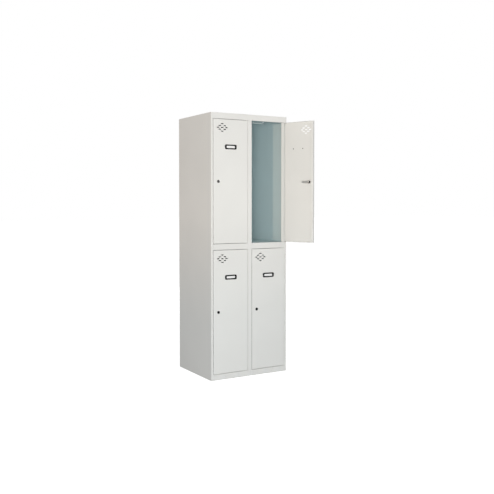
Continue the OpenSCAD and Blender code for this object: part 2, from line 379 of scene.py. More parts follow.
@dataclass(frozen=True)
class CardStock:
    """Uncoated white card with paper fibre."""

    name: str
    colour: Colour
    shade: Colour

    def material(self) -> bpy.types.Material:
        """Builds the card.

        Returns:
            The material.
        """
        graph = Graph(self.name)
        fibre = graph.noise(900.0, 5.0, (0.5, 1.0, 1.4))
        cloud = graph.noise(60.0, 2.0)
        return graph.finish(
            Base_Color=graph.mix(fibre * 0.5 + cloud * 0.3, self.colour, self.shade),
            Roughness=0.82 + fibre * 0.1,
            Normal=graph.bump(fibre, 0.00005),
        )


# ---------------------------------------------------------------- surfaces


@dataclass
class Shell:
    """One closed surface: its points and its faces, as rows of point numbers."""

    points: np.ndarray
    faces: list[Sequence[int]]

    def volume(self) -> float:
        """Six times the enclosed volume: the tetrahedra between the origin and a fan of each face, summed."""
        total = 0.0
        for face in self.faces:
            corner = self.points[list(face)]
            normals = np.cross(corner[1:-1], corner[2:])
            total += float(normals.sum(0) @ corner[0])
        return total

    def outward(self) -> "Shell":
        """The same shell with its faces turned outwards."""
        if self.volume() < 0:
            return Shell(self.points, [tuple(reversed(face)) for face in self.faces])
        return self


def joined(shells: Sequence[Shell]) -> Shell:
    """Several shells as one.

    Args:
        shells: the shells, which don't touch.

    Returns:
        One shell that holds them all.
    """
    points, faces, start = [], [], 0
    for shell in shells:
        points.append(shell.points)
        faces.extend(tuple(int(i) + start for i in face) for face in shell.faces)
        start += len(shell.points)
    return Shell(np.concatenate(points), faces)


def loft(rings: np.ndarray, ring_loop: bool = False) -> Shell:
    """A surface through a stack of closed rings.

    The point at (i, j) is point j of ring i; faces join neighbouring rings, and the first and last rings are
    capped, or joined to each other where the stack itself is a loop.

    Args:
        rings: an array of rings x points x 3.
        ring_loop: whether the last ring joins the first.

    Returns:
        The closed shell, facing outwards.
    """
    count, size = rings.shape[:2]
    index = np.arange(count * size).reshape(count, size)
    lower = index if ring_loop else index[:-1]
    upper = np.roll(index, -1, axis=0) if ring_loop else index[1:]
    quads = np.stack([lower, np.roll(lower, -1, 1), np.roll(upper, -1, 1), upper], axis=-1).reshape(-1, 4)
    faces: list[Sequence[int]] = [tuple(row) for row in quads.tolist()]
    if not ring_loop:
        faces += [tuple(index[0][::-1].tolist()), tuple(index[-1].tolist())]
    return Shell(rings.reshape(-1, 3), faces).outward()


def turned(profile: Sequence[tuple[float, float]], sides: int = 48, hollow: bool = False) -> Shell:
    """A surface of revolution about local Y: the point (r, y) of a profile goes to (r cos a, y, r sin a).

    Args:
        profile: pairs of radius and place along the axis, every radius above 0.
        sides: how many steps a takes round the circle.
        hollow: whether the profile is a closed section, which leaves a bore, and not capped at its ends.

    Returns:
        The closed shell.
    """
    radius, along = np.array(profile, float).T
    circle = radius[:, None, None] * disc(sides)
    rings = np.insert(circle, 1, along[:, None], axis=2)
    return loft(rings, ring_loop=hollow)


def stood(shell: Shell, sense: float = 1.0) -> Shell:
    """Stands a shell that was turned about Y up along Z; a sense of 1 sends +Y to +Z, and -1 to -Z."""
    x, y, z = shell.points.T
    return Shell(np.column_stack([x, -sense * z, sense * y]), shell.faces)


def moved(shell: Shell, offset: Sequence[float]) -> Shell:
    """Moves a shell by an offset along X, Y and Z."""
    return Shell(shell.points + np.array(offset, float), shell.faces)


def rounded_outline(width: float, height: float, corner: float, steps: int = 8) -> np.ndarray:
    """A rectangle with round corners, anticlockwise: each corner is a quarter circle about its own centre.

    Args:
        width: overall width.
        height: overall height.
        corner: the corner radius.
        steps: segments in each corner.

    Returns:
        An array of points x 2.
    """
    start = np.radians([0.0, 90.0, 180.0, 270.0])
    angle = np.radians(np.linspace(0.0, 90.0, steps + 1))[None, :] + start[:, None]
    centre = np.array([(1, 1), (-1, 1), (-1, -1), (1, -1)]) * (width / 2 - corner, height / 2 - corner)
    return (centre[:, None, :] + corner * np.stack([np.cos(angle), np.sin(angle)], axis=-1)).reshape(-1, 2)


def upright(outline: np.ndarray, y: float, at: Sequence[float]) -> np.ndarray:
    """Stands a flat outline up in a door's plane: at y in its depth, and at a place across and up."""
    return np.column_stack([outline[:, 0] + at[0], np.full(len(outline), y), outline[:, 1] + at[1]])


def stacked(rows: Sequence[tuple[np.ndarray, float]], at: Sequence[float], ring_loop: bool = False) -> Shell:
    """A closed surface through pairs of a flat outline and its place in a door's depth."""
    return loft(np.array([upright(outline, y, at) for outline, y in rows]), ring_loop)


def disc(steps: int) -> np.ndarray:
    """The points of a circle of radius 1, anticlockwise, as points x 2."""
    angle = np.linspace(0.0, 2.0 * np.pi, steps, endpoint=False)
    return np.column_stack([np.cos(angle), np.sin(angle)])


def quarter(radius: float, steps: int = 4) -> np.ndarray:
    """A quarter circle's sine and 1 - cosine, times the radius, for rounding an edge: (steps + 1) x 2."""
    angle = np.radians(np.linspace(0.0, 90.0, steps + 1))
    return radius * np.column_stack([np.sin(angle), 1.0 - np.cos(angle)])


# ---------------------------------------------------------------- pieces


class Place(Enum):
    """The four compartments, as the frame names them."""

    UPPER_LEFT = "upper_left"
    UPPER_RIGHT = "upper_right"
    LOWER_LEFT = "lower_left"
    LOWER_RIGHT = "lower_right"


def make_piece(name: str, shell: Shell, material: bpy.types.Material, body: str, slot: str,
               replaces: Sequence[str] = (), smooth_below: float = 35.0) -> bpy.types.Object:
    """Puts a shell into the scene as a piece of the cabinet.

    Args:
        name: the piece's name.
        shell: its surface, in the frame's coordinates.
        material: its finish.
        body: the body that it rides on.
        slot: the record's slot for the piece; not used.
        replaces: CAD nodes that it stands for.
        smooth_below: edges that bend less than this, in degrees, are shaded smooth.

    Returns:
        The object.
    """
    mesh = bpy.data.meshes.new(name)
    mesh.from_pydata(shell.points.tolist(), [], shell.faces)
    mesh.polygons.foreach_set("use_smooth", [True] * len(mesh.polygons))
    mesh.set_sharp_from_angle(angle=radians(smooth_below))
    mesh.materials.append(material)
    mesh.update()
    piece = bpy.data.objects.new(name, mesh)
    bpy.context.scene.collection.objects.link(piece)
    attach(piece, body)
    if replaces:
        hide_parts(*replaces)
    LOG.info("%s: %d faces on %s", name, len(mesh.polygons), body)
    return piece


def dress(node: str, material: bpy.types.Material) -> None:
    """Gives a CAD node its finish."""
    mesh = frame["nodes"][node].data
    mesh.materials.clear()
    mesh.materials.append(material)


def joint_named(name: str) -> dict:
    """The row of the record's joint of that name."""
    return next(joint for joint in frame["joints"] if joint["name"] == name)


CARCASS_BOX = (
    tuple(min(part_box(n)[0][i] for n in ("side_panel_left", "side_panel_right")) for i in range(3)),
    tuple(max(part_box(n)[1][i] for n in ("side_panel_left", "side_panel_right")) for i in range(3)),
)


def points_of(node: str) -> np.ndarray:
    """A CAD node's points, in the frame's coordinates, as points x 3."""
    mesh = frame["nodes"][node].data
    points = np.empty(len(mesh.vertices) * 3, np.float32)
    mesh.vertices.foreach_get("co", points)
    return points.reshape(-1, 3)


def islands(node: str) -> list[np.ndarray]:
    """The separate solids of a CAD node.

    Every point starts with its own number and each edge hands the lower number on, until no number changes;
    points that share a number belong to one solid.

    Args:
        node: the node's name.

    Returns:
        The points of each solid, in the frame's coordinates.
    """
    mesh = frame["nodes"][node].data
    points = points_of(node).astype(float)
    edges = np.empty(len(mesh.edges) * 2, np.int32)
    mesh.edges.foreach_get("vertices", edges)
    first, second = edges.reshape(-1, 2).T
    label = np.arange(len(points))
    _, same = np.unique(np.round(points, 6), axis=0, return_inverse=True)
    lowest = np.full(same.max() + 1, len(points))
    while True:
        before = label.copy()
        least = np.minimum(label[first], label[second])
        np.minimum.at(label, first, least)
        np.minimum.at(label, second, least)
        lowest[:] = len(points)
        np.minimum.at(lowest, same.ravel(), label)
        label = lowest[same.ravel()]
        if np.array_equal(before, label):
            break
    return [points[label == number] for number in np.unique(label)]


@dataclass
class Leaf:
    """A door's own axes: X from the free edge to the hinge, Y into the cabinet, Z up, from the hinge axis."""

    place: Place
    pivot: np.ndarray = field(init=False)
    axes: np.ndarray = field(init=False)

    def __post_init__(self) -> None:
        """Reads the hinge's place, and the door's inward normal from its lock's axis."""
        self.pivot = np.array(joint_named(f"door_{self.place.value}_hinge")["pos_m"], float)
        inward = np.array(joint_named(f"lock_{self.place.value}_turn")["axis"], float)
        self.axes = np.array([(inward[1], -inward[0], 0.0), inward, (0.0, 0.0, 1.0)])

    @property
    def door(self) -> str:
        """The body of the door."""
        return f"door_{self.place.value}"

    @property
    def lock(self) -> str:
        """The body of the lock's turning parts."""
        return f"lock_{self.place.value}"

    def node(self, piece: str) -> str:
        """The name of this door's CAD node of one kind."""
        return f"{piece}_{self.place.value}"

    def box(self, piece: str) -> tuple[np.ndarray, np.ndarray]:
        """A node's lowest and highest corner, on the door's own axes."""
        local = (points_of(self.node(piece)) - self.pivot) @ self.axes.T
        return local.min(0), local.max(0)

    def placed(self, shell: Shell) -> Shell:
        """Moves a shell from the door's axes to the frame's."""
        return Shell(shell.points @ self.axes + self.pivot, shell.faces)


@dataclass
class LabelHolder:
    """A black moulded card holder with a bevelled rim, snapped through the door skin, and its card."""

    leaf: Leaf
    bar_side: float = 13.5 * MM
    bar_top: float = 9.0 * MM
    corner: float = 9.0 * MM
    bevel: float = 2.2 * MM
    wall_share: float = 0.35
    land: tuple[float, float] = (0.62, 0.78)
    land_fall: float = 0.25 * MM
    window_wall: float = 1.1 * MM
    stud_radius: float = 3.5 * MM
    stud_offset: float = 39.0 * MM
    card_depth: tuple[float, float] = (0.4 * MM, 0.7 * MM)
    card_bow: float = 0.35 * MM

    def rim(self) -> Shell:
        """The frame: a section swung round a rounded rectangle.

        Each ring is a rounded rectangle between the outer edge and the window, and the rings step through the
        section: up the outer wall, over a rounded shoulder, along the face, down the window's slope and back.

        Returns:
            The shell on the door's axes.
        """
        low, high = self.leaf.box("label_frame")
        skin = self.leaf.box("door_panel")[0][1]
        centre = ((low[0] + high[0]) / 2, (low[2] + high[2]) / 2)
        width, height = high[0] - low[0], high[2] - low[2]
        face = low[1]
        shoulder = skin - self.wall_share * (skin - face)
        window = (width - 2 * self.bar_side, height - 2 * self.bar_top)
        rows = [(0.0, skin), (0.0, shoulder)]
        fall = (shoulder - face) / self.bevel
        rows += [(inset, shoulder - fall * rise) for rise, inset in quarter(self.bevel)[1:]]
        rows += [(self.bar_top * self.land[0], face), (self.bar_top * self.land[1], face + self.land_fall)]
        rows += [(self.bar_top, skin - self.window_wall), (self.bar_top, skin)]
        rings = []
        for inset, y in rows:
            share = inset / self.bar_top
            w = width + (window[0] - width) * share
            h = height + (window[1] - height) * share
            r = self.corner + (window[1] / 4 - self.corner) * share
            rings.append((rounded_outline(w, h, r), y))
        return stacked(rings, centre, ring_loop=True)

    def studs(self) -> Shell:
        """The two snap studs' heads inside the door.

        Returns:
            The shells on the door's axes.
        """
        low, high = self.leaf.box("label_frame")
        inner = self.leaf.box("door_panel")[0][1] + SHEET
        z = (low[2] + high[2]) / 2
        middle = (low[0] + high[0]) / 2
        head, tip = self.stud_radius, high[1]
        profile = [
            (0.7 * head, inner), (head, inner + 0.1 * MM), (head, inner + 0.7 * MM),
            (0.8 * head, tip - 0.3 * MM), (0.5 * head, tip), (0.1 * head, tip),
        ]
        stud, offset = turned(profile, 24), self.stud_offset
        return joined([moved(stud, (middle + side * offset, 0.0, z)) for side in (-1, 1)])

    def card(self) -> Shell:
        """The card: a thin rounded slab that bows a little towards the window.

        The point at share s across the card stands forward by the bow times 1 - s squared.

        Returns:
            The shell on the door's axes.
        """
        low, high = self.leaf.box("label_card")
        s = np.linspace(-1.0, 1.0, 17)
        x = (low[0] + high[0]) / 2 + s * (high[0] - low[0]) / 2
        bow = self.card_bow * (1.0 - s**2)
        front, back = (low[1] + depth - bow for depth in self.card_depth)
        corners = [(front, low[2]), (front, high[2]), (back, high[2]), (back, low[2])]
        rings = [np.column_stack([x, y, np.full(len(s), z)]) for y, z in corners]
        return loft(np.array(rings).transpose(1, 0, 2))

    def build(self, plastic: bpy.types.Material, card: bpy.types.Material) -> None:
        """Makes the holder and its card.

        Args:
            plastic: the frame's finish.
            card: the card's finish.
        """
        leaf = self.leaf
        holder = joined([self.rim(), self.studs()])
        make_piece(leaf.node("label_holder"), leaf.placed(holder), plastic, leaf.door, "label_plastic",
                   [leaf.node("label_frame")])
        make_piece(leaf.node("name_card"), leaf.placed(self.card()), card, leaf.door, "label_paper",
                   [leaf.node("label_card")])


class LockLook(Enum):
    """How a lock's housing and plug are finished: fresh and worn colour, and how strongly they reflect."""

    BLACK = ((0.006, 0.006, 0.007), (0.025, 0.025, 0.025), 0.25)
    SMOKED = ((0.085, 0.083, 0.080), (0.17, 0.165, 0.16), 0.45)

    def material(self) -> bpy.types.Material:
        """Builds the finish.

        Returns:
            The material.
        """
        colour, worn, specular = self.value
        name = f"lock_{self.name.lower()}"
        return Moulding(name, colour, worn, 0.34, specular=specular).material()


@dataclass
class CamLock:
    """A cam lock: rounded bezel and barrel, keyed plug, hexagon nut, cam and screw."""

    leaf: Leaf
    barrel: float = 8.0 * MM
    bore: float = 5.6 * MM
    lip: float = 1.2 * MM
    dish: tuple[float, float] = (7.2 * MM, 6.4 * MM)
    edge: float = 0.5 * MM
    keyway: tuple[float, float, float] = (1.4 * MM, 7.0 * MM, 3.0 * MM)
    spindle: tuple[float, float] = (3.2 * MM, 2.0 * MM)
    hub: float = 8.0 * MM
    half_cam: float = 7.0 * MM
    cam_edge: float = 0.35 * MM
    screw_head: float = 2.0 * MM
    screw_shank: float = 2.0 * MM
    cross: tuple[float, float, float] = (0.7 * MM, 0.9 * MM, 1.0 * MM)

    def centre(self) -> np.ndarray:
        """The lock's axis on the door's own axes: across, 0 and up."""
        low, high = self.leaf.box("lock_plug")
        return np.array([(low[0] + high[0]) / 2, 0.0, (low[2] + high[2]) / 2])

    def at(self) -> tuple[float, float]:
        """The lock's axis, across and up."""
        x, _, z = self.centre()
        return x, z

    def bezel(self) -> Shell:
        """The housing: a torus-like surface of revolution, closed through its own bore.

        Returns:
            The shell on the door's axes.
        """
        low, high = self.leaf.box("lock_housing")
        skin = self.leaf.box("door_panel")[0][1]
        rim, front, back = (high[0] - low[0]) / 2, low[1], high[1]
        profile = [(self.bore, back), (self.barrel - 0.4 * MM, back), (self.barrel, back - 0.4 * MM)]
        profile += [(self.barrel, skin), (rim, skin)]
        profile += [(rim - inset, skin - 0.6 * MM - rise) for rise, inset in quarter(self.lip, 5)]
        profile += [(self.dish[0], front), (self.dish[1], front + 0.5 * MM), (self.bore, front + 0.7 * MM)]
        return moved(turned(profile, 64, hollow=True), self.centre())

    def nut(self) -> Shell:
        """The hexagon nut, with its corners cut off round at both faces.

        At angle a its radius is the flat's distance over the cosine of a's distance to the flat's middle.

        Returns:
            The shell on the door's axes.
        """
        low, high = self.leaf.box("lock_nut")
        flat, front, back = (high[2] - low[2]) / 2, low[1], high[1]
        ring = disc(96)
        angle = np.linspace(0, 2 * np.pi, 96, endpoint=False)
        hexagon = flat / np.cos(np.mod(angle, np.pi / 3) - np.pi / 6)
        cut = np.minimum(hexagon, 1.04 * flat)
        bore = np.full_like(angle, self.barrel + 0.02 * MM)
        rows = [
            (bore, front), (cut, front), (hexagon, front + self.edge),
            (hexagon, back - self.edge), (cut, back), (bore, back),
        ]
        return stacked([(ring * radius[:, None], y) for radius, y in rows], self.at(), ring_loop=True)

    def plug(self) -> Shell:
        """The plug: rings run up from the keyway's floor, over the face and back along the barrel.

        Returns:
            The shell on the door's axes.
        """
        low, high = self.leaf.box("lock_plug")
        radius, face, end = (high[0] - low[0]) / 2, low[1], high[1]
        slot = rounded_outline(self.keyway[0], self.keyway[1], 0.5 * MM)
        angle = np.arctan2(slot[:, 1], slot[:, 0])
        ring = np.column_stack([np.cos(angle), np.sin(angle)])
        neck, length = self.spindle
        rows = [
            (slot, face + self.keyway[2]), (slot, face + 0.2 * MM), (slot * 1.15, face),
            (ring * (radius - self.edge), face), (ring * radius, face + self.edge),
            (ring * radius, end - length), (ring * neck, end - length), (ring * neck, end),
        ]
        return stacked(rows, self.at())

    def cam(self) -> Shell:
        """The cam: a flat bar with one end about the axis and the other round, its edges eased.

        The outline is an arc about the axis, two straight flanks and an arc about the tip's centre.

        Returns:
            The shell on the door's axes.
        """
        low, high = self.leaf.box("lock_cam")
        x, z = self.at()
        half, reach = self.half_cam, high[0] - x
        about = np.linspace(np.arcsin(half / self.hub), np.pi, 13)
        hub_arc = self.hub * np.column_stack([np.cos(about), np.sin(about)])
        hub_arc = np.vstack([hub_arc, hub_arc[-2::-1] * (1, -1)])
        tip = np.linspace(-np.pi / 2, np.pi / 2, 17)
        tip_arc = np.column_stack([reach - half + half * np.cos(tip), half * np.sin(tip)])
        outline = np.vstack([hub_arc, tip_arc])
        centre = outline.mean(0)
        ease = self.cam_edge
        small = centre + (outline - centre) * (1 - ease / half)
        front, back = low[1], high[1]
        rows = [(small, front), (outline, front + ease), (outline, back - ease), (small, back)]
        return stacked(rows, (x, z))

    def screw(self) -> Shell:
        """The pan-headed cam screw, with a cross recess pressed into its head.

        At angle a the recess reaches out by a rounded four-pointed rule, 1 + cos 4a.

        Returns:
            The shell on the door's axes.
        """
        low, high = self.leaf.box("cam_screw")
        head, top = (high[0] - low[0]) / 2, high[1]
        seat = top - self.screw_head
        angle = np.linspace(0, 2 * np.pi, 48, endpoint=False)
        ring = disc(48)
        least, arm, deep = self.cross
        cross = ring * (least + arm * (1 + np.cos(4 * angle)))[:, None]
        shank = ring * self.screw_shank
        rows = [
            (shank, seat - 1 * MM), (shank, seat), (ring * head, seat), (ring * head, seat + 0.9 * MM),
            (ring * head * 0.9, top - 0.35 * MM), (ring * head * 0.7, top), (cross, top),
            (cross * 0.8, top - deep),
        ]
        return stacked(rows, self.at())

    def build(self, body: bpy.types.Material, plug: bpy.types.Material, zinc: bpy.types.Material) -> None:
        """Makes the lock.

        Args:
            body: the housing's finish.
            plug: the plug's finish.
            zinc: the finish of the nut, cam and screw.
        """
        leaf = self.leaf
        parts = (
            ("lock_bezel", self.bezel(), body, leaf.door, "lock_black", "lock_housing"),
            ("hex_nut", self.nut(), zinc, leaf.door, "zinc_steel", "lock_nut"),
            ("key_plug", self.plug(), plug, leaf.lock, "lock_chrome", "lock_plug"),
            ("cam_bar", self.cam(), zinc, leaf.lock, "zinc_steel", "lock_cam"),
            ("pan_screw", self.screw(), zinc, leaf.lock, "zinc_steel", "cam_screw"),
        )
        for name, shell, material, rides, slot, stands_for in parts:
            make_piece(leaf.node(name), leaf.placed(shell), material, rides, slot, [leaf.node(stands_for)])


@dataclass
class CoatRail:
    """A rod bent up at both ends, on two welded feet."""

    place: Place
    radius: float = 4.5 * MM
    bend: float = 8.0 * MM
    foot_height: float = 1.5 * MM
    foot_length: float = 34.0 * MM
    foot_corner: float = 4.0 * MM
    bead: float = 2.0 * MM
    neck: float = 0.1 * MM

    def path(self, low: np.ndarray, high: np.ndarray) -> np.ndarray:
        """The rod's centre line: up one leg, round an arc, along, round and up the other leg.

        Args:
            low: the rail's lowest corner.
            high: its highest corner.

        Returns:
            An array of points x 3.
        """
        inset = self.foot_length / 2
        legs = (low[0] + inset, high[0] - inset)
        z, top = low[2] + self.radius, high[2] - self.foot_height
        turn = np.radians(np.linspace(0.0, 90.0, 9))
        left = np.column_stack([legs[0] + self.bend * (1 - np.cos(turn)), z + self.bend * (1 - np.sin(turn))])
        right = left[::-1] * (-1, 1) + (legs[0] + legs[1], 0.0)
        flat = np.vstack([[(legs[0], top)], left, right, [(legs[1], top)]])
        y = (low[1] + high[1]) / 2
        return np.column_stack([flat[:, 0], np.full(len(flat), y), flat[:, 1]])

    def rod(self, path: np.ndarray, sides: int = 24) -> Shell:
        """A round section carried along a path in the XZ plane, square to its tangent.

        Args:
            path: the centre line.
            sides: points round the section.

        Returns:
            The shell.
        """
        tangent = np.gradient(path, axis=0)
        tangent /= np.linalg.norm(tangent, axis=1, keepdims=True)
        side = np.array([0.0, 1.0, 0.0])
        up = np.cross(tangent, side)
        across, along = disc(sides).T
        section = across[None, :, None] * side + along[None, :, None] * up[:, None, :]
        return loft(path[:, None, :] + self.radius * section)

    def collar(self, grown: float) -> np.ndarray:
        """A circle that stands off the rod, with as many points as the foot has."""
        radius = self.radius + grown
        return rounded_outline(2 * radius, 2 * radius, radius - 0.01 * MM)

    def foot(self, x: float, low: np.ndarray, high: np.ndarray) -> Shell:
        """A welded foot: a rounded plate under the ceiling with a fillet of weld round the rod.

        Args:
            x: the leg's place.
            low: the rail's lowest corner.
            high: its highest corner.

        Returns:
            The shell.
        """
        outline = rounded_outline(self.foot_length, high[1] - low[1], self.foot_corner)
        bead, neck = self.collar(self.bead), self.collar(self.neck)
        top, under = high[2], high[2] - self.foot_height
        y = (low[1] + high[1]) / 2
        rows = [
            (outline, top), (outline, under + 0.3 * MM), (outline * 0.97, under), (bead, under),
            (0.5 * bead + 0.5 * neck, under - 0.9 * MM), (neck, under - 2.2 * MM),
        ]
        return loft(np.array([np.column_stack([o + (x, y), np.full(len(o), z)]) for o, z in rows]))

    def build(self, metal: bpy.types.Material) -> None:
        """Makes the rail.

        Args:
            metal: its finish.
        """
        node = f"coat_rail_{self.place.value}"
        low, high = (np.array(corner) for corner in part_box(node))
        path = self.path(low, high)
        shells = [self.rod(path)] + [self.foot(x, low, high) for x in (path[0][0], path[-1][0])]
        make_piece(f"hanging_rail_{self.place.value}", joined(shells), metal, "carcass", "rail_steel", [node])


@dataclass
class Flanged:
    """What a CAD solid with a flange at one end of an upright axis measures."""

    axis: np.ndarray
    inner: float
    flange: float
    sense: float
    thick: float
    half: float

    @classmethod
    def measured(cls, solid: np.ndarray) -> "Flanged":
        """Reads the sizes off the solid's points; the flange is where the widest points lie.

        Args:
            solid: the points.

        Returns:
            The sizes.
        """
        low, high = solid.min(0), solid.max(0)
        axis = (low + high) / 2
        reach = np.hypot(*(solid - axis)[:, :2].T)
        flange = (high[0] - low[0]) / 2
        wide = solid[reach > 0.95 * flange, 2]
        sense = 1.0 if wide.mean() > axis[2] else -1.0
        return cls(axis, reach.min(), flange, sense, wide.max() - wide.min(), (high[2] - low[2]) / 2)


@dataclass
class HingeSet:
    """Flanged bushes in the carcass, and each door's turned pins with their collars."""

    chamfer: float = 0.35 * MM
    barrel_share: float = 0.727
    bore_gap: float = 0.01 * MM
    shank: float = 2.5 * MM
    tip: float = 0.1 * MM
    centre_mark: tuple[float, float] = (1.0 * MM, 0.5 * MM)

    def bush(self, solid: np.ndarray) -> Shell:
        """One flanged bush: a ring with eased edges, its flange on the side of the door.

        Args:
            solid: the CAD bush's points.

        Returns:
            The shell.
        """
        seen, ease = Flanged.measured(solid), self.chamfer
        bore, flange, half = seen.inner + self.bore_gap, seen.flange, seen.half
        barrel, under = self.barrel_share * flange, half - seen.thick
        profile = [
            (bore + ease, -half), (barrel - 2 * ease, -half), (barrel, -half + 2 * ease), (barrel, under),
            (flange - ease, under), (flange, under + ease), (flange, half - ease),
            (flange - ease, half), (bore + ease, half), (bore, half - ease), (bore, -half + ease),
        ]
        return moved(stood(turned(profile, hollow=True), seen.sense), seen.axis)

    def pin(self, solid: np.ndarray) -> Shell:
        """One pin: a bullet tip, a plain shank, an eased collar and a centre mark.

        Args:
            solid: the CAD pin's points.

        Returns:
            The shell.
        """
        seen, ease, shank = Flanged.measured(solid), self.chamfer, self.shank
        collar, half, under = seen.flange, seen.half, seen.half - seen.thick
        wide, deep = self.centre_mark
        profile = [
            (self.tip, -half), (shank - 3 * ease, -half), (shank - ease, -half + ease),
            (shank, -half + 3 * ease), (shank, under), (collar - ease, under), (collar, under + ease),
            (collar, half - ease), (collar - ease, half), (wide, half), (self.tip, half - deep),
        ]
        return moved(stood(turned(profile), seen.sense), seen.axis)

    def build(self, nylon: bpy.types.Material, zinc: bpy.types.Material) -> None:
        """Makes the bushes and the pins.

        Args:
            nylon: the bushes' finish.
            zinc: the pins' finish.
        """
        bushes = joined([self.bush(solid) for solid in islands("hinge_bushes")])
        make_piece("flanged_bushes", bushes, nylon, "carcass", "bush_nylon", ["hinge_bushes"])
        for place in Place:
            node = f"hinge_pins_{place.value}"
            pins = joined([self.pin(solid) for solid in islands(node)])
            make_piece(f"turned_pins_{place.value}", pins, zinc, f"door_{place.value}", "zinc_steel", [node])


@dataclass
class Fixings:
    """The blind rivets of the back seams and the soft bumpers that the doors close on."""

    rivet_head: float = 1.0 * MM
    tail: float = 1.2 * MM
    mandrel: tuple[float, float] = (0.25, 0.3 * MM)
    barb: float = 1.5 * MM

    def about(self, solid: np.ndarray, profile: Sequence[tuple[float, float]]) -> Shell:
        """Turns pairs of radius and Y about the Y axis through the middle of a CAD solid."""
        middle = (solid.min(0) + solid.max(0)) / 2
        return moved(turned(profile, 32), (middle[0], 0.0, middle[2]))

    def rivet(self, solid: np.ndarray) -> Shell:
        """One blind rivet: a domed head with the broken mandrel in its middle, a shank and a tail.

        The dome's height over the seam falls with the square of the distance from the axis.

        Args:
            solid: the CAD rivet's points.

        Returns:
            The shell.
        """
        low, high = solid.min(0), solid.max(0)
        head, end, top = (high[0] - low[0]) / 2, low[1], high[1]
        seat = top - self.rivet_head
        pit, deep = self.mandrel
        profile = [
            (0.1 * MM, end), (0.7 * head, end + 0.2 * MM), (0.75 * head, end + self.tail),
            (0.5 * head, end + self.tail), (0.5 * head, seat), (head, seat),
        ]
        dome = np.linspace(1.0, 0.3, 7)
        profile += [(head * r, min(top, seat + (top - seat) * (1.0 - 0.85 * r**2) / 0.95)) for r in dome]
        profile += [(pit * head, top - deep), (0.03 * head, top - deep)]
        return self.about(solid, profile)

    def bumper(self, solid: np.ndarray) -> Shell:
        """One bumper: a soft button, a stem through the jamb and a barb behind it.

        Args:
            solid: the CAD buffer's points.

        Returns:
            The shell.
        """
        low, high = solid.min(0), solid.max(0)
        wide, front, end = (high[0] - low[0]) / 2, low[1], high[1]
        barb = end - self.barb
        seat = barb - SHEET
        profile = [
            (0.1 * MM, front), (0.55 * wide, front + 0.08 * MM), (0.85 * wide, front + 0.5 * MM),
            (0.98 * wide, front + 1.2 * MM), (wide, front + 2.0 * MM), (wide, seat - 0.3 * MM),
            (0.93 * wide, seat), (0.4 * wide, seat), (0.4 * wide, barb), (0.62 * wide, barb),
            (0.45 * wide, end), (0.1 * MM, end),
        ]
        return self.about(solid, profile)

    def build(self, rubber: bpy.types.Material, metal: bpy.types.Material) -> None:
        """Makes the rivets and the bumpers.

        Args:
            rubber: the bumpers' finish.
            metal: the rivets' finish.
        """
        rivets = joined([self.rivet(solid) for solid in islands("rivets")])
        make_piece("domed_rivets", rivets, metal, "carcass", "rivet_aluminium", ["rivets"])
        bumpers = joined([self.bumper(solid) for solid in islands("door_buffers")])
        make_piece("soft_bumpers", bumpers, rubber, "carcass", "buffer_rubber", ["door_buffers"])


@dataclass(frozen=True)
class Lamp:
    """One studio light: a soft box, or a distant lamp with a slightly soft shadow."""

    name: str
    at: tuple[float, float, float]
    strength: float
    size: float
    colour: Colour = (1.0, 1.0, 1.0)
    distant: bool = False
    aim: tuple[float, float, float] = (0.0, 0.0, 0.9)

    def build(self) -> None:
        """Hangs the lamp where it belongs and turns it to its aim."""
        light = bpy.data.lights.new(self.name, "SUN" if self.distant else "AREA")
        if self.distant:
            light.angle = radians(self.size)
        else:
            light.size = self.size
        light.color = self.colour
        light.energy = self.strength
        lamp = bpy.data.objects.new(self.name, light)
        lamp.location = self.at
        lamp.rotation_euler = (Vector(self.aim) - Vector(self.at)).to_track_quat("-Z", "Y").to_euler()
        bpy.context.scene.collection.objects.link(lamp)


